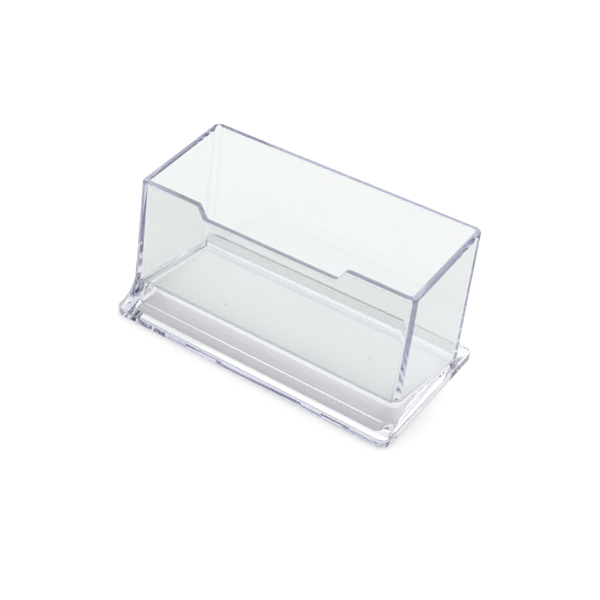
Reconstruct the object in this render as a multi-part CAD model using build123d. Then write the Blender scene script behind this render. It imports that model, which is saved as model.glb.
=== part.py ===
"""Business card holder stand: a clear card box that leans back in a flared, ring-shaped base."""
import math
import os

from build123d import *

# Card box, measured square to its walls
pocket_width = 92.5           # inside, side to side, for cards 89 to 91 wide
pocket_depth = 31.7           # inside, front to back
foot_wall = 2.65              # wall at its foot; the draft thins it towards the rim
wall_draft = 0.9              # degrees, on the outside of the walls
floor_thickness = 1.6
back_height = 45.8            # outside of the back wall, underside to rim
front_height = 36.0           # outside of the front wall, underside to rim
back_corner_radius = 3.2
front_corner_radius = 2.6
pocket_corner_radius = 0.6
floor_fillet = 0.5
rim_rounding = 0.6

# How the box stands
lean_angle = 11.64            # degrees back from upright
desk_clearance = 0.4          # desk to the box's lowest edge

# Finger notch in the front rim
notch_width = 47.0            # flat bottom, before its corners are rounded
notch_depth = 3.3
notch_shoulder_run = 2.2      # along the rim, at each end
notch_rounding = 1.0

# Flared base
front_reach = 6.6             # base's front edge to the box's front bottom edge
back_reach = 5.83             # base's back edge to the box's back bottom edge
side_reach = 1.57             # base's side to the box's foot
base_corner_radius = 3.0
lip_height = 2.6
lip_top_rounding = 0.45
lip_foot_rounding = 0.35
collar_front_height = 1.6     # how far the base wraps up the box's front wall
collar_back_height = 3.1      # and up its back wall
collar_land = 0.35            # flat top of the collar
collar_corner_radius = 2.8
cove_fall = 0.59              # place of the skirt's concave break, as a part of the skirt's fall
cove_reach = 0.34             # and as a part of its reach
bond_gap = 0.05               # solvent joint between box and base

# Opening through the base
shelf_width = 2.9             # ledge under the box's front and sides
back_shelf_width = 4.0        # and under its back
mouth_corner_radius = 2.0

# Sizes that follow
box_width = pocket_width + 2 * foot_wall
box_depth = pocket_depth + 2 * foot_wall
lean = math.radians(lean_angle)
base_width = box_width + 2 * side_reach
base_depth = front_reach + box_depth * math.cos(lean) + back_reach
box_back = base_depth / 2 - back_reach
leaning = Pos(0, box_back, desk_clearance) * Rot(-lean_angle, 0, 0)


def stand_point(along: float, up: float) -> tuple[float, float]:
    """World (y, z) of a point in the box's own frame, whose y runs back and z up the walls."""
    y = box_back + along * math.cos(lean) + up * math.sin(lean)
    z = desk_clearance - along * math.sin(lean) + up * math.cos(lean)
    return y, z


def block(width, depth, height, front_radius, back_radius=0.0, draft=0.0):
    """Upright block on z = 0 with its back face on y = 0 and its upright edges rounded."""
    plan = Pos(0, -depth / 2, 0) * Rectangle(width, depth)
    plan = fillet(plan.vertices().group_by(Axis.Y)[0], front_radius)
    if back_radius > 0:
        plan = fillet(plan.vertices().group_by(Axis.Y)[-1], back_radius)
    return extrude(plan, amount=height, taper=draft)


def runs_through_wall(edge) -> bool:
    """True for a short edge that crosses the front wall from outside to inside."""
    return edge.length < 2 * foot_wall and abs((edge @ 1 - edge @ 0).normalized().X) < 0.6


def make_box():
    """Open-topped card box with a finger notch in its front rim."""
    shell = block(
        box_width, box_depth, back_height, front_corner_radius, back_corner_radius, wall_draft
    )
    pocket = block(
        pocket_width, pocket_depth, back_height, pocket_corner_radius, pocket_corner_radius
    )
    pocket = fillet(pocket.faces().sort_by(Axis.Z)[0].edges(), floor_fillet)
    shell -= Pos(0, -foot_wall, floor_thickness) * pocket

    slope = (back_height - front_height) / box_depth
    above_rim = make_face(
        Polyline(
            (foot_wall, back_height + slope * foot_wall),
            (foot_wall, back_height + box_depth),
            (-box_depth - foot_wall, back_height + box_depth),
            (-box_depth - foot_wall, front_height - slope * foot_wall),
            close=True,
        )
    )
    shell -= extrude(Plane.YZ * above_rim, amount=box_width, both=True)

    bottom = front_height - notch_depth
    half = notch_width / 2
    top = bottom + 2 * notch_depth
    flare = 2 * notch_shoulder_run
    notch = make_face(
        Polyline(
            (-half, bottom), (half, bottom), (half + flare, top), (-half - flare, top), close=True
        )
    )
    notch = fillet(notch.vertices().group_by(Axis.Y)[0], notch_rounding)
    through = extrude(Plane.XZ * notch, amount=3 * foot_wall)
    shell -= Pos(0, -(box_depth - 2 * foot_wall), 0) * through

    shoulders = [
        edge
        for edge in shell.edges()
        if runs_through_wall(edge) and edge.center().Z > front_height - rim_rounding
    ]
    shell = fillet(shoulders, notch_rounding)
    rim = [
        edge
        for edge in shell.edges()
        if edge.center().Z > bottom - rim_rounding and not runs_through_wall(edge)
    ]
    return fillet(rim, rim_rounding)


def section(front, back, width, radius):
    """Rounded rectangle across the stand, its front and back edges through two (y, z) points."""
    run = back[0] - front[0]
    rise = back[1] - front[1]
    middle = Pos(0, (front[0] + back[0]) / 2, (front[1] + back[1]) / 2)
    tilt = Rot(math.degrees(math.atan2(rise, run)), 0, 0)
    return middle * tilt * RectangleRounded(width, math.hypot(run, rise), radius)


def part_way(start: tuple[float, float], end: tuple[float, float]) -> tuple[float, float]:
    """Point of the skirt's concave break between its top and its foot."""
    y = start[0] + cove_reach * (end[0] - start[0])
    z = start[1] + cove_fall * (end[1] - start[1])
    return y, z


def make_base():
    """Flared ring with a flat lip, and a leaning socket whose ledge carries the box."""
    lip = extrude(RectangleRounded(base_width, base_depth, base_corner_radius), lip_height)
    lip = fillet(lip.faces().sort_by(Axis.Z)[-1].edges(), lip_top_rounding)
    lip = fillet(lip.faces().sort_by(Axis.Z)[0].edges(), lip_foot_rounding)

    foot_front = (-base_depth / 2 + lip_top_rounding, lip_height)
    foot_back = (base_depth / 2 - lip_top_rounding, lip_height)
    foot_width = base_width - 2 * lip_top_rounding
    foot_radius = base_corner_radius - lip_top_rounding
    foot = section(foot_front, foot_back, foot_width, foot_radius)

    margin = bond_gap + collar_land
    collar_front = stand_point(-box_depth - margin, collar_front_height)
    collar_back = stand_point(margin, collar_back_height)
    collar_width = box_width + 2 * margin
    collar = section(collar_front, collar_back, collar_width, collar_corner_radius)

    cove_front = part_way(collar_front, foot_front)
    cove_back = part_way(collar_back, foot_back)
    cove_width = collar_width + cove_reach * (foot_width - collar_width)
    cove = section(cove_front, cove_back, cove_width, collar_corner_radius)
    base = lip + loft([foot, cove, collar], ruled=True)

    socket = block(
        box_width + 2 * bond_gap,
        box_depth + 2 * bond_gap,
        back_height,
        front_corner_radius + bond_gap,
        back_corner_radius + bond_gap,
    )
    base -= leaning * Pos(0, bond_gap, 0) * socket

    mouth = block(
        box_width - 2 * shelf_width,
        box_depth - shelf_width - back_shelf_width,
        back_height,
        mouth_corner_radius,
        mouth_corner_radius,
    )
    return base - leaning * Pos(0, -back_shelf_width, -back_height / 2) * mouth


card_box = leaning * make_box()
flared_base = make_base()

os.makedirs("parts", exist_ok=True)
stand = Compound([card_box, flared_base]).bounding_box()
to_origin = Pos(0, -stand.center().Y, -stand.min.Z)
export_step(to_origin * card_box, "parts/card_box.step")
export_step(to_origin * flared_base, "parts/flared_base.step")
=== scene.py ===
"""Looks of a clear business card holder stand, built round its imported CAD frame."""
import logging
import math
from dataclasses import dataclass
from enum import Enum

import bmesh
import bpy
from mathutils import Matrix, Vector


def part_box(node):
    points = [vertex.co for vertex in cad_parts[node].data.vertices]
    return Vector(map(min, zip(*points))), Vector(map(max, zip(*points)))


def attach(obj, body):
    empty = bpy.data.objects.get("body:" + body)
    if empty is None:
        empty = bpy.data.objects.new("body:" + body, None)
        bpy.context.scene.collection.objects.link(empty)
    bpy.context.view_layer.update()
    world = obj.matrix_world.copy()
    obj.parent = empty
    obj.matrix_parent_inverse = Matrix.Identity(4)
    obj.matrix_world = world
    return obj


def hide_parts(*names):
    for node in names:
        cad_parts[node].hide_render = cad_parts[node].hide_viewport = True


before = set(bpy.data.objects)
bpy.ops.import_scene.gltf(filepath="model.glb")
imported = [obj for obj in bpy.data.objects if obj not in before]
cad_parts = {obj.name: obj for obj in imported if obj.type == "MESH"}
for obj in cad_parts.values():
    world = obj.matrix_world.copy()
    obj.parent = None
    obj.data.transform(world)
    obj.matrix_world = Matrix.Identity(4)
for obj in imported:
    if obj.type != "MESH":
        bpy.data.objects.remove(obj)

MM = 0.001           # metres in a millimetre
SHARPEST = 0.05      # smallest corner radius of an outline, in millimetres
CREASE = 20.0        # degrees above which an edge stays sharp
WELD = 1e-7          # metres within which two points are one
FLAT_BIAS = 100      # how strongly large faces set the shading, from 1 to 100
Colour = tuple[float, float, float]
LOG = logging.getLogger("card_stand")


class Part(Enum):
    """The stand's two mouldings: CAD node and colour slot of each."""

    BOX = ("card_box", "clear_box")
    BASE = ("flared_base", "clear_base")


@dataclass(frozen=True)
class Sampling:
    """How many points go round an outline.

    Attributes:
        corner: steps in each rounded corner.
        side: points inside each straight side.
        back: points inside the straight back.
        front: x of the points inside the straight front, in millimetres.
    """

    corner: int
    side: int
    back: int
    front: tuple[float, ...]


@dataclass(frozen=True)
class Plan:
    """Rounded rectangle seen square on, in millimetres, with y running to the back."""

    half: float
    front: float
    back: float
    front_radius: float
    back_radius: float

    def inset(self, by: float) -> "Plan":
        """The same outline moved inwards.

        Args:
            by: distance in millimetres, outwards if negative.

        Returns:
            The moved outline.
        """
        return Plan(
            self.half - by,
            self.front + by,
            self.back - by,
            max(self.front_radius - by, SHARPEST),
            max(self.back_radius - by, SHARPEST),
        )

    def points(self, sampling: Sampling) -> list[Vector]:
        """Points round the outline, from the front's left end, anticlockwise from above.

        Args:
            sampling: how many points each stretch gets.

        Returns:
            The points, with z at 0.
        """
        rf, rb = self.front_radius, self.back_radius
        out = [Vector((x, self.front, 0)) for x in sampling.front]

        def arc(cx: float, cy: float, radius: float, start: float) -> None:
            """Adds a quarter circle."""
            for i in range(sampling.corner + 1):
                a = math.radians(start + 90 * i / sampling.corner)
                out.append(Vector((cx + radius * math.cos(a), cy + radius * math.sin(a), 0)))

        def run(count: int, a: tuple[float, float], b: tuple[float, float]) -> None:
            """Adds points between two ends, without the ends."""
            start, end = Vector((*a, 0)), Vector((*b, 0))
            out.extend(start.lerp(end, (i + 1) / (count + 1)) for i in range(count))

        right, left = self.half, -self.half
        arc(right - rf, self.front + rf, rf, -90)
        run(sampling.side, (right, self.front + rf), (right, self.back - rb))
        arc(right - rb, self.back - rb, rb, 0)
        run(sampling.back, (right - rb, self.back), (left + rb, self.back))
        arc(left + rb, self.back - rb, rb, 90)
        run(sampling.side, (left, self.back - rb), (left, self.front + rf))
        arc(left + rf, self.front + rf, rf, 180)
        return out


@dataclass(frozen=True)
class Stance:
    """How the box leans in the base, in millimetres and degrees.

    The box's own y runs back and its z up the walls, from its back foot edge.

    Attributes:
        half_depth: half of the base's depth.
        back_reach: base's back edge to the box's back foot edge.
        lean: degrees back from upright.
        lift: desk to the back foot edge.
    """

    half_depth: float
    back_reach: float = 5.83
    lean: float = 11.64
    lift: float = 0.4

    def place(self, p: Vector) -> Vector:
        """Place on the desk of a point of the upright box."""
        c, s = math.cos(math.radians(self.lean)), math.sin(math.radians(self.lean))
        back = self.half_depth - self.back_reach
        return Vector((p.x, back + p.y * c + p.z * s, self.lift - p.y * s + p.z * c))


class Loft:
    """A skin made by extruding one closed loop again and again."""

    def __init__(self, points: list[Vector]) -> None:
        """Starts the skin.

        Args:
            points: the first loop, in millimetres.
        """
        self.bm = bmesh.new()
        self.bond = self.bm.faces.layers.float.new("bond")
        made = bmesh.ops.create_circle(
            self.bm, cap_ends=False, segments=len(points), radius=1.0
        )
        self.loop: list[bmesh.types.BMVert] = made["verts"]
        self.first = list(self.loop)
        self._place(points)

    def _place(self, points: list[Vector]) -> None:
        """Puts the open loop on its points."""
        for vert, point in zip(self.loop, points):
            vert.co = point * MM

    def _edges(self, loop: list[bmesh.types.BMVert]) -> list[bmesh.types.BMEdge]:
        """Edges round a loop."""
        return [self.bm.edges.get((a, b)) for a, b in zip(loop, loop[1:] + loop[:1])]

    def step(self, points: list[Vector], bonded: bool = False) -> None:
        """Extrudes the open loop to the next one.

        Args:
            points: the next loop, in millimetres.
            bonded: true where the other moulding is bonded to the new faces.
        """
        made = bmesh.ops.extrude_edge_only(self.bm, edges=self._edges(self.loop))["geom"]
        new = {g for g in made if isinstance(g, bmesh.types.BMVert)}
        self.loop = [
            next(e.other_vert(v) for e in v.link_edges if e.other_vert(v) in new)
            for v in self.loop
        ]
        for face in (g for g in made if isinstance(g, bmesh.types.BMFace)):
            face[self.bond] = float(bonded)
        self._place(points)

    def cap(self) -> None:
        """Fills both end loops; the first one's face is drawn as bonded, without bending light."""
        for loop in (self.first, self.loop):
            for face in bmesh.ops.contextual_create(self.bm, geom=self._edges(loop))["faces"]:
                face[self.bond] = float(loop is self.first)

    def close(self) -> None:
        """Joins the last loop to the first."""
        bmesh.ops.bridge_loops(self.bm, edges=self._edges(self.loop) + self._edges(self.first))

    def finish(self, name: str, shift: Vector) -> bpy.types.Object:
        """Turns the skin into an object.

        Args:
            name: the object's name.
            shift: move to the frame's own origin, in millimetres.

        Returns:
            The object, linked to the scene.
        """
        bmesh.ops.remove_doubles(self.bm, verts=self.bm.verts, dist=WELD)
        bmesh.ops.recalc_face_normals(self.bm, faces=self.bm.faces)
        bmesh.ops.translate(self.bm, verts=self.bm.verts, vec=shift * MM)
        for face in self.bm.faces:
            face.smooth = True
        mesh = bpy.data.meshes.new(name)
        self.bm.to_mesh(mesh)
        self.bm.free()
        mesh.set_sharp_from_angle(angle=math.radians(CREASE))
        obj = bpy.data.objects.new(name, mesh)
        bpy.context.scene.collection.objects.link(obj)
        normals = obj.modifiers.new("flat_faces_first", "WEIGHTED_NORMAL")
        normals.keep_sharp = True
        normals.weight = FLAT_BIAS
        return obj


def quarter(steps: int) -> list[tuple[float, float]]:
    """Cosine and sine at even steps from 0 to 90 degrees."""
    turns = [math.radians(90 * i / steps) for i in range(steps + 1)]
    return [(math.cos(a), math.sin(a)) for a in turns]


def soft_max(a: float, b: float, width: float) -> float:
    """Larger of two values, with a rounded corner where they cross."""
    return 0.5 * (a + b + math.hypot(a - b, width))


def soft_min(a: float, b: float, width: float) -> float:
    """Smaller of two values, with a rounded corner where they cross."""
    return 0.5 * (a + b - math.hypot(a - b, width))


@dataclass(frozen=True)
class CardBox:
    """The open-topped box that holds the cards, in millimetres.

    Attributes:
        stance: how it leans.
        half: half of its width at the foot.
        draft: degrees by which its walls lean in on the outside.
        front_fillet: rounding at the pocket's foot in front; back_fillet is the one behind.
        notch_half: half of the finger notch's flat bottom.
        notch_run: length along the rim of each of the notch's shoulders.
        collar_front: how far the base wraps up the front wall; collar_back is the same behind.
        ledge: width of the base's ledge under the sides, with front_ledge and back_ledge.
        middle: x of the outline's points in the notch.
        ends: x of its points beyond the notch's shoulders.
        settle: rounds in which a drafted wall's inset and height agree.
    """

    stance: Stance
    half: float = 48.9
    depth: float = 37.0
    foot_wall: float = 2.65
    draft: float = 0.9
    floor: float = 1.6
    front_fillet: float = 1.5
    back_fillet: float = 0.8
    back_height: float = 45.8
    front_height: float = 36.0
    back_radius: float = 3.2
    front_radius: float = 2.6
    pocket_radius: float = 0.6
    rim_round: float = 0.95
    notch_half: float = 23.5
    notch_depth: float = 3.3
    notch_run: float = 2.2
    notch_round: float = 0.5
    collar_front: float = 1.6
    collar_back: float = 3.1
    ledge: float = 2.9
    front_ledge: float = 4.85
    back_ledge: float = 4.0
    under_radius: float = 2.0
    middle: tuple[float, ...] = (4.0, 9.0, 14.0, 18.0)
    ends: tuple[float, ...] = (33.0, 37.0, 41.0)
    shoulder_lead: float = 2.0
    shoulder_gap: float = 0.25
    shoulder_points: int = 30
    arc_steps: int = 6
    settle: int = 3

    def sampling(self) -> Sampling:
        """Points round the box, close together at the notch's shoulders."""
        start = self.notch_half - self.shoulder_lead
        shoulder = [start + self.shoulder_gap * i for i in range(self.shoulder_points)]
        right = [*self.middle, *shoulder, *self.ends]
        left = [-x for x in reversed(right)]
        return Sampling(corner=10, side=6, back=14, front=(*left, 0.0, *right))

    def outer(self) -> Plan:
        """Outline at the box's underside."""
        return Plan(self.half, -self.depth, 0.0, self.front_radius, self.back_radius)

    def pocket(self) -> Plan:
        """Outline of the pocket."""
        w, r = self.foot_wall, self.pocket_radius
        return Plan(self.half - w, -self.depth + w, -w, r, r)

    def under(self) -> Plan:
        """Outline of the underside that shows inside the base's ledge."""
        r = self.under_radius
        return Plan(self.half - self.ledge, -self.depth + self.front_ledge, -self.back_ledge, r, r)

    def rim(self, p: Vector) -> float:
        """Height of the rim over a point of the plan, notched in the front wall.

        Args:
            p: the point.

        Returns:
            Height above the underside.
        """
        slope = (self.back_height - self.front_height) / self.depth
        plane = self.back_height + slope * p.y
        if p.y > -self.depth + 2 * self.foot_wall:
            return plane
        bottom = self.front_height - self.notch_depth
        ramp = bottom + (abs(p.x) - self.notch_half) * self.notch_depth / self.notch_run
        return soft_min(plane, soft_max(bottom, ramp, self.notch_round), self.notch_round)

    def collar(self, p: Vector) -> Vector:
        """The point of the plan lifted to the base's collar."""
        rise = (self.collar_back - self.collar_front) / self.depth
        return Vector((p.x, p.y, self.collar_back + rise * p.y))

    def taper(self) -> float:
        """How far the outside moves in for each millimetre up."""
        return math.tan(math.radians(self.draft))

    def outside(self, down: float, inset: float) -> list[Vector]:
        """Loop on the outside of the drafted walls.

        Args:
            down: distance below the rim.
            inset: distance in from the wall's face.

        Returns:
            The loop's points.
        """
        sampling = self.sampling()
        loop = []
        for i, p in enumerate(self.outer().points(sampling)):
            height = 0.0
            for _ in range(self.settle):
                height = self.rim(p) - down
                p = self.outer().inset(self.taper() * height + inset).points(sampling)[i]
            loop.append(self.stance.place(Vector((p.x, p.y, height))))
        return loop

    def inside(self, down: float, inset: float) -> list[Vector]:
        """Loop on the pocket's walls.

        Args:
            down: distance below the rim.
            inset: distance in from the wall's face.

        Returns:
            The loop's points.
        """
        points = self.pocket().inset(inset).points(self.sampling())
        return [self.stance.place(Vector((p.x, p.y, self.rim(p) - down))) for p in points]

    def level(self, plan: Plan, height: float) -> list[Vector]:
        """Loop round an outline at one height above the underside."""
        points = plan.points(self.sampling())
        return [self.stance.place(Vector((p.x, p.y, height))) for p in points]

    def fillet(self, c: float, s: float) -> list[Vector]:
        """Loop on the rounding at the pocket's foot, which tightens towards the back.

        Args:
            c: cosine of the way round.
            s: sine of the way round.

        Returns:
            The loop's points.
        """
        pocket, sampling = self.pocket(), self.sampling()
        loop = []
        for i, p in enumerate(pocket.points(sampling)):
            part = (p.y - pocket.front) / (pocket.back - pocket.front)
            r = self.front_fillet + (self.back_fillet - self.front_fillet) * part
            p = pocket.inset(r - r * c).points(sampling)[i]
            loop.append(self.stance.place(Vector((p.x, p.y, self.floor + r - r * s))))
        return loop

    def build(self, shift: Vector) -> bpy.types.Object:
        """Lofts the box from its underside over the rim and down into the pocket.

        Args:
            shift: move to the frame's own origin, in millimetres.

        Returns:
            The box.
        """
        outer = self.outer()
        loft = Loft(self.level(self.under(), 0.0))
        loft.step(self.level(outer, 0.0), bonded=True)
        drafted = outer.inset(self.taper() * self.collar_back).points(self.sampling())
        loft.step([self.stance.place(self.collar(p)) for p in drafted], bonded=True)
        r = self.rim_round
        for c, s in quarter(self.arc_steps):
            loft.step(self.outside(r - r * s, r - r * c))
        for c, s in reversed(quarter(self.arc_steps)):
            loft.step(self.inside(r - r * s, r * c - r))
        for c, s in quarter(self.arc_steps):
            loft.step(self.fillet(c, s))
        loft.cap()
        return loft.finish("card_box_clear", shift)


@dataclass(frozen=True)
class FlaredBase:
    """The ring-shaped foot that the box leans in, in millimetres.

    Attributes:
        box: the box that stands in it.
        half: half of its width.
        half_depth: half of its depth.
        land: flat top of the collar; gap is the bond's thickness.
        cove_fall: place of the skirt's concave break, as a part of its fall.
        cove_reach: the same, as a part of its reach; cove_round softens the break.
        toe: base's front edge to the hollow's foot on the desk.
        step: width of a fine step in the hollow's wall.
        step_place: base's front edge to the step's inner edge; step_back is its back's y.
        back_share: height of the step at the back, as a part of its height in front.
        ripples: fine waves down the skirt's back; ripple_height is the height of one.
        ripple_from: reach of the skirt at which they set in, over ripple_ease.
    """

    box: CardBox
    half: float
    half_depth: float
    corner: float = 3.0
    lip: float = 2.6
    lip_top: float = 0.42
    lip_foot: float = 0.35
    land: float = 0.05
    gap: float = 0.05
    cove_fall: float = 0.59
    cove_reach: float = 0.34
    cove_round: float = 0.12
    toe: float = 4.73
    step: float = 0.55
    step_height: float = 1.6
    step_place: float = 8.13
    step_back: float = 15.0
    back_share: float = 0.1
    skirt_steps: int = 48
    ripples: float = 3.5
    ripple_height: float = 0.12
    ripple_from: float = 3.0
    ripple_ease: float = 1.0
    arc_steps: int = 6

    def sampling(self) -> Sampling:
        """Points round the base, in line with the box's."""
        return Sampling(corner=10, side=12, back=14, front=self.box.sampling().front)

    def level(self, plan: Plan, z: float) -> list[Vector]:
        """Loop round an outline at one height above the desk."""
        return [p + Vector((0, 0, z)) for p in plan.points(self.sampling())]

    def leaning(self, plan: Plan, z: float) -> list[Vector]:
        """Loop round an outline of the leaning box, at a height above its underside."""
        points = plan.points(self.sampling())
        return [self.box.stance.place(p + Vector((0, 0, z))) for p in points]

    def collar(self, plan: Plan) -> list[Vector]:
        """Loop round an outline of the leaning box, along the collar's top."""
        points = plan.points(self.sampling())
        return [self.box.stance.place(self.box.collar(p)) for p in points]

    def sinking(self, plan: Plan, height: float) -> list[Vector]:
        """Loop round an outline that sinks from a height in front towards its back."""
        span = plan.back - plan.front
        loop = []
        for p in plan.points(self.sampling()):
            share = self.back_share + (1 - self.back_share) * (plan.back - p.y) / span
            loop.append(p + Vector((0, 0, height * share)))
        return loop

    def skirt(self, foot: Vector, top: Vector, t: float) -> Vector:
        """A point on the hollowed side.

        Args:
            foot: where it starts on the lip.
            top: where it ends at the collar.
            t: part of the way up.

        Returns:
            The point.
        """
        fall = 1 - t
        upper = self.cove_reach / self.cove_fall
        lower = (1 - self.cove_reach) / (1 - self.cove_fall)

        def cove(part: float) -> float:
            """How far out the two slopes are, before their ends are evened out."""
            turn = self.cove_reach + lower * (part - self.cove_fall)
            return soft_max(upper * part, turn, self.cove_round)

        reach = cove(fall) - cove(0.0) * t - (cove(1.0) - 1) * fall
        flat = top.lerp(foot, reach)
        past = (foot.y - top.y - self.ripple_from) / self.ripple_ease
        at_back = min(1.0, max(0.0, past))
        wave = math.sin(math.pi * t) * math.sin(2 * math.pi * self.ripples * reach)
        ripple = self.ripple_height * at_back * wave
        return Vector((flat.x, flat.y, top.z + (foot.z - top.z) * fall + ripple))

    def hollow(self) -> list[tuple[Plan, float]]:
        """Outlines down the hollow's wall, with their heights at the front.

        Returns:
            The inner and the outer edge of a fine step, and the foot on the desk.
        """
        half, r = self.box.half - self.box.ledge, self.box.under_radius
        inner = Plan(half, -self.half_depth + self.step_place, self.step_back, r, r)
        outer = Plan(half, inner.front - self.step, self.step_back, r, r)
        foot = Plan(half, -self.half_depth + self.toe, self.step_back, r, r)
        return [(inner, self.step_height), (outer, self.step_height), (foot, 0.0)]

    def build(self, shift: Vector) -> bpy.types.Object:
        """Lofts the base from under the lip over the skirt and down through the socket.

        Args:
            shift: move to the frame's own origin, in millimetres.

        Returns:
            The base.
        """
        lip = Plan(self.half, -self.half_depth, self.half_depth, self.corner, self.corner)
        r = self.lip_foot
        loft = Loft(self.level(lip.inset(r), 0.0))
        for c, s in quarter(self.arc_steps)[1:]:
            loft.step(self.level(lip.inset(r - r * s), r - r * c))
        r = self.lip_top
        for c, s in quarter(self.arc_steps):
            loft.step(self.level(lip.inset(r - r * c), self.lip - r + r * s))
        outer = self.box.outer()
        foot = self.level(lip.inset(r), self.lip)
        top = self.collar(outer.inset(-self.gap - self.land))
        for i in range(1, self.skirt_steps + 1):
            t = i / self.skirt_steps
            loft.step([self.skirt(a, b, t) for a, b in zip(foot, top)])
        socket = outer.inset(-self.gap)
        loft.step(self.collar(socket), bonded=True)
        loft.step(self.leaning(socket, -self.gap), bonded=True)
        loft.step(self.leaning(self.box.under(), -self.gap), bonded=True)
        for plan, height in self.hollow():
            loft.step(self.sinking(plan, height))
        loft.close()
        return loft.finish("flared_base_clear", shift)


class Tree:
    """A node tree that is filled node by node."""

    def __init__(self, tree: bpy.types.NodeTree) -> None:
        """Keeps the tree."""
        self.tree = tree

    def feed(self, node: bpy.types.Node, inputs: dict[str | int, object]) -> None:
        """Sets or links a node's inputs.

        Args:
            node: the node.
            inputs: a constant, or the output to link, for each input.
        """
        for key, value in inputs.items():
            if isinstance(value, bpy.types.NodeSocket):
                self.tree.links.new(value, node.inputs[key])
            else:
                node.inputs[key].default_value = value

    def add(
        self, kind: str, inputs: dict[str | int, object] | None = None, **settings: object
    ) -> bpy.types.Node:
        """Adds a node.

        Args:
            kind: Blender's name for it.
            inputs: a constant, or the output to link, for each input.
            settings: its own settings.

        Returns:
            The node.
        """
        node = self.tree.nodes.new(kind)
        for key, value in settings.items():
            setattr(node, key, value)
        self.feed(node, inputs or {})
        return node

    def arithmetic(self, operation: str, a: object, b: object) -> bpy.types.NodeSocket:
        """Result of an operation on two values, each a constant or an output."""
        return self.add("ShaderNodeMath", {0: a, 1: b}, operation=operation).outputs[0]


@dataclass(frozen=True)
class MouldingMarks:
    """Slow waves and dust specks of a moulded clear face.

    Attributes:
        wave_scale: waves in a metre.
        speck_scale: places for a speck in a metre.
        speck_size: size of a speck, as a part of its place.
        speck_share: part of the places that hold one.
        speck_colour: its colour.
    """

    wave_scale: float = 70.0
    speck_scale: float = 160.0
    speck_size: float = 0.045
    speck_share: float = 0.06
    speck_colour: Colour = (0.35, 0.33, 0.33)

    def build(self) -> bpy.types.ShaderNodeTree:
        """Makes the node group.

        Returns:
            The group.
        """
        group = bpy.data.node_groups.new("moulding_marks", "ShaderNodeTree")
        sockets = group.interface
        sockets.new_socket("Vector", in_out="INPUT", socket_type="NodeSocketVector")
        sockets.new_socket("Tint", in_out="INPUT", socket_type="NodeSocketColor")
        sockets.new_socket("Colour", in_out="OUTPUT", socket_type="NodeSocketColor")
        sockets.new_socket("Height", in_out="OUTPUT", socket_type="NodeSocketFloat")
        tree = Tree(group)
        given = tree.add("NodeGroupInput")
        place = given.outputs["Vector"]
        wave = tree.add(
            "ShaderNodeTexNoise", {"Vector": place, "Scale": self.wave_scale, "Detail": 1.0}
        )
        cells = tree.add("ShaderNodeTexVoronoi", {"Vector": place, "Scale": self.speck_scale})
        chance = tree.add("ShaderNodeSeparateColor", {0: cells.outputs["Color"]})
        near = tree.arithmetic("LESS_THAN", cells.outputs["Distance"], self.speck_size)
        rare = tree.arithmetic("LESS_THAN", chance.outputs[0], self.speck_share)
        colour = tree.add(
            "ShaderNodeMix",
            {
                "Factor": tree.arithmetic("MULTIPLY", near, rare),
                "A": given.outputs["Tint"],
                "B": (*self.speck_colour, 1),
            },
            data_type="RGBA",
        )
        tree.add(
            "NodeGroupOutput",
            {"Colour": colour.outputs["Result"], "Height": wave.outputs["Fac"]},
        )
        return group


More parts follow.
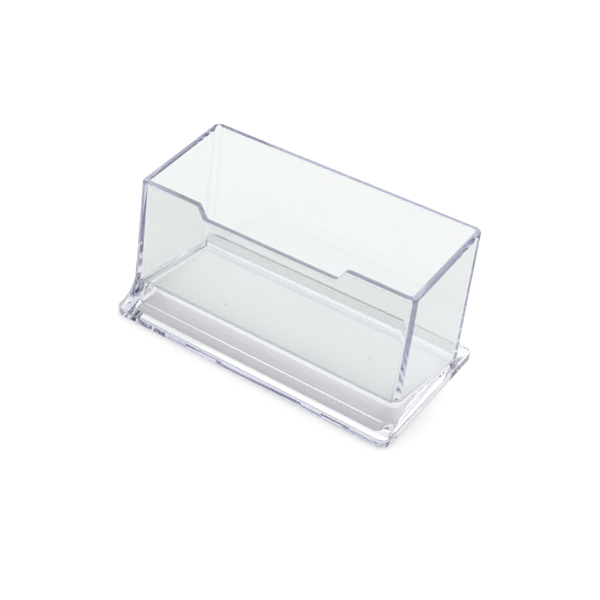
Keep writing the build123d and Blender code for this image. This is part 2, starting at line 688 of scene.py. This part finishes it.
@dataclass(frozen=True)
class ClearPlastic:
    """Clear moulded plastic with a faint lavender body.

    Attributes:
        name: the material's name.
        tint: share of each colour that a wall lets through.
        density: how strongly its depth absorbs.
        shade: share of the light on its way to the table that each face lets through at the
            front; it grows to all of the light towards the back.
        absorb: colour that its depth keeps.
        ior: refractive index.
        wave: height of the moulded face's slow waves, in metres.
        shade_reach: how far in front of and behind the middle the shade ends, in metres.
    """

    name: str
    tint: Colour
    density: float
    shade: float
    absorb: Colour = (0.0, 0.0, 0.4)
    ior: float = 1.58
    wave: float = 0.02 * MM
    shade_reach: float = 16 * MM

    def body(
        self, tree: Tree, marks: bpy.types.ShaderNodeTree, place: bpy.types.NodeSocket
    ) -> bpy.types.Node:
        """Adds the clear body, which bends no light where the mouldings are bonded.

        Args:
            tree: the material's nodes.
            marks: the group that draws the moulding's marks.
            place: the place on the object.

        Returns:
            The body's node.
        """
        drawn = tree.add(
            "ShaderNodeGroup", {"Tint": (*self.tint, 1), "Vector": place}, node_tree=marks
        )
        bump = tree.add(
            "ShaderNodeBump",
            {"Strength": 1.0, "Distance": self.wave, "Height": drawn.outputs["Height"]},
        )
        bond = tree.add("ShaderNodeAttribute", attribute_name="bond")
        return tree.add(
            "ShaderNodeBsdfPrincipled",
            {
                "Base Color": drawn.outputs["Colour"],
                "Roughness": 0.0,
                "IOR": self.ior,
                "Transmission Weight": 1.0,
                "Alpha": tree.arithmetic("SUBTRACT", 1.0, bond.outputs["Fac"]),
                "Normal": bump.outputs["Normal"],
            },
        )

    def shade_filter(self, tree: Tree, place: bpy.types.NodeSocket) -> bpy.types.Node:
        """Adds the plain filter that the light on its way to the table goes through.

        Args:
            tree: the material's nodes.
            place: the place on the object.

        Returns:
            The filter's node.
        """
        split = tree.add("ShaderNodeSeparateXYZ", {0: place})
        fade = tree.add(
            "ShaderNodeMapRange",
            {
                "Value": split.outputs["Y"],
                "From Min": -self.shade_reach,
                "From Max": self.shade_reach,
                "To Min": self.shade,
                "To Max": 1.0,
            },
        )
        return tree.add("ShaderNodeBsdfTransparent", {"Color": fade.outputs["Result"]})

    def build(self, marks: bpy.types.ShaderNodeTree) -> bpy.types.Material:
        """Makes the material.

        Args:
            marks: the group that draws the moulding's marks.

        Returns:
            The material.
        """
        mat = bpy.data.materials.new(self.name)
        mat.use_nodes = True
        mat.node_tree.nodes.clear()
        tree = Tree(mat.node_tree)
        place = tree.add("ShaderNodeTexCoord").outputs["Object"]
        ray = tree.add("ShaderNodeLightPath").outputs
        to_table = tree.arithmetic("MAXIMUM", ray["Is Shadow Ray"], ray["Is Diffuse Ray"])
        body = self.body(tree, marks, place)
        clear = self.shade_filter(tree, place)
        mix = tree.add("ShaderNodeMixShader", {0: to_table, 1: body.outputs[0], 2: clear.outputs[0]})
        depth = tree.add(
            "ShaderNodeVolumeAbsorption", {"Color": (*self.absorb, 1), "Density": self.density}
        )
        tree.add(
            "ShaderNodeOutputMaterial", {"Surface": mix.outputs[0], "Volume": depth.outputs[0]}
        )
        return mat


@dataclass(frozen=True)
class Studio:
    """White table, soft light with a pale backdrop, and the photograph's viewpoint.

    Attributes:
        yaw: degrees that the camera is turned; pitch is how far it looks down.
        lens: focal length on a sensor of a given width, in millimetres.
        place: the camera's place from the middle of the base, in millimetres.
        clip: nearest distance that the camera sees, in metres.
        table_gap: table to the stand's feet, in millimetres.
        table_half: half of the table's width, in metres.
        table_low: the table's darker grain; table_high is the paler one.
        top: light from above; backdrop is the light from the far side.
        near_side: light from the camera's side.
        turn_from: how far a ray turns to the far side where that light sets in, to turn_to.
        rise_from: how far a ray rises where the light from above sets in, to rise_to.
        bounces: how often light may pass a clear wall; glossy is how often it bounces off one.
    """

    yaw: float = 36.088
    pitch: float = 40.072
    lens: float = 75.835
    sensor: float = 36.0
    place: tuple[float, float, float] = (173.84, -233.635, 258.474)
    clip: float = 0.01
    table_gap: float = 0.1
    table_half: float = 3.0
    table_low: float = 0.935
    table_high: float = 0.945
    table_grain: float = 250.0
    table_roughness: float = 0.9
    table_sheen: float = 0.1
    top: float = 1.35
    backdrop: float = 1.12
    near_side: Colour = (0.08, 0.078, 0.135)
    turn_from: float = -0.2
    turn_to: float = 0.6
    rise_from: float = 0.15
    rise_to: float = 0.7
    bounces: int = 32
    glossy: int = 24

    def floor(self) -> None:
        """Lays a plain pale floor, just under the stand's feet."""
        bm = bmesh.new()
        bmesh.ops.create_grid(bm, x_segments=1, y_segments=1, size=self.table_half)
        bmesh.ops.translate(bm, verts=bm.verts, vec=(0, 0, -self.table_gap * MM))
        mesh = bpy.data.meshes.new("floor")
        bm.to_mesh(mesh)
        bm.free()
        obj = bpy.data.objects.new("floor", mesh)
        bpy.context.scene.collection.objects.link(obj)
        mat = bpy.data.materials.new("floor_white")
        mat.use_nodes = True
        tree = Tree(mat.node_tree)
        place = tree.add("ShaderNodeTexCoord").outputs["Object"]
        grain = tree.add("ShaderNodeTexNoise", {"Vector": place, "Scale": self.table_grain})
        low, high = self.table_low, self.table_high
        pale = tree.add(
            "ShaderNodeMix",
            {
                "Factor": grain.outputs["Fac"],
                "A": (low, low, low, 1),
                "B": (high, high, high, 1),
            },
            data_type="RGBA",
        )
        tree.feed(
            mat.node_tree.nodes["Principled BSDF"],
            {
                "Base Color": pale.outputs["Result"],
                "Roughness": self.table_roughness,
                "Specular IOR Level": self.table_sheen,
            },
        )
        mesh.materials.append(mat)

    def light(self) -> None:
        """Lights the scene from above and from a pale backdrop, dim on the near side."""
        world = bpy.data.worlds.new("studio")
        bpy.context.scene.world = world
        world.use_nodes = True
        world.node_tree.nodes.clear()
        tree = Tree(world.node_tree)
        ray = tree.add("ShaderNodeTexCoord").outputs["Generated"]

        def share(direction: Vector, low: float, high: float) -> bpy.types.NodeSocket:
            """Eases from 0 to 1 as a ray turns towards a direction."""
            along = tree.add(
                "ShaderNodeVectorMath", {0: ray, 1: direction}, operation="DOT_PRODUCT"
            )
            ease = tree.add(
                "ShaderNodeMapRange",
                {"Value": along.outputs["Value"], "From Min": low, "From Max": high},
                interpolation_type="SMOOTHSTEP",
            )
            return ease.outputs["Result"]

        def blend(part: bpy.types.NodeSocket, start: object, bright: float) -> bpy.types.NodeSocket:
            """Mixes a colour with a grey."""
            inputs = {"Factor": part, "A": start, "B": (bright, bright, bright, 1)}
            return tree.add("ShaderNodeMix", inputs, data_type="RGBA").outputs["Result"]

        yaw = math.radians(self.yaw)
        away = Vector((-math.sin(yaw), math.cos(yaw), 0))
        up = Vector((0, 0, 1))
        far = share(away, self.turn_from, self.turn_to)
        side = blend(far, (*self.near_side, 1), self.backdrop)
        over = blend(share(up, self.rise_from, self.rise_to), side, self.top)
        back = tree.add("ShaderNodeBackground", {"Color": over})
        tree.add("ShaderNodeOutputWorld", {"Surface": back.outputs[0]})

    def camera(self, shift: Vector) -> None:
        """Sets the photograph's viewpoint.

        Args:
            shift: move to the frame's own origin, in millimetres.
        """
        data = bpy.data.cameras.new("camera")
        data.lens = self.lens
        data.sensor_width = self.sensor
        data.clip_start = self.clip
        obj = bpy.data.objects.new("camera", data)
        bpy.context.scene.collection.objects.link(obj)
        turn = Matrix.Rotation(math.radians(self.yaw), 4, "Z") @ Matrix.Rotation(
            math.radians(90 - self.pitch), 4, "X"
        )
        obj.matrix_world = Matrix.Translation((Vector(self.place) + shift) * MM) @ turn
        bpy.context.scene.camera = obj

    def rays(self) -> None:
        """Lets light go through many clear walls, and keeps plain colours."""
        scene = bpy.context.scene
        scene.view_settings.view_transform = "Standard"
        scene.cycles.max_bounces = self.bounces
        scene.cycles.transmission_bounces = self.bounces
        scene.cycles.glossy_bounces = self.glossy
        scene.cycles.transparent_max_bounces = self.bounces
        scene.cycles.blur_glossy = 0.0


CLEAR_BOX = ClearPlastic("clear_box", tint=(0.845, 0.867, 0.849), density=10.0, shade=0.97)
CLEAR_BASE = ClearPlastic("clear_base", tint=(0.885, 0.89, 0.882), density=7.0, shade=0.68)


def main() -> None:
    logging.basicConfig(level=logging.INFO, format="%(message)s")
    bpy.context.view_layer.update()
    low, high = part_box(Part.BASE.value[0])
    shift = Vector((0, 0.5 * (low[1] + high[1]) / MM, 0))
    half = 0.5 * (high[0] - low[0]) / MM
    half_depth = 0.5 * (high[1] - low[1]) / MM
    box = CardBox(Stance(half_depth))
    base = FlaredBase(box, half, half_depth)
    marks = MouldingMarks().build()
    for part, piece, plastic in (
        (Part.BOX, box.build(shift), CLEAR_BOX),
        (Part.BASE, base.build(shift), CLEAR_BASE),
    ):
        node, slot = part.value
        piece.data.materials.append(plastic.build(marks))
        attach(piece, "root")
        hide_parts(node)
        LOG.info("%s: %d faces", piece.name, len(piece.data.polygons))
    studio = Studio()
    studio.floor()
    studio.light()
    studio.camera(shift)
    studio.rays()


if __name__ == "__main__":
    main()
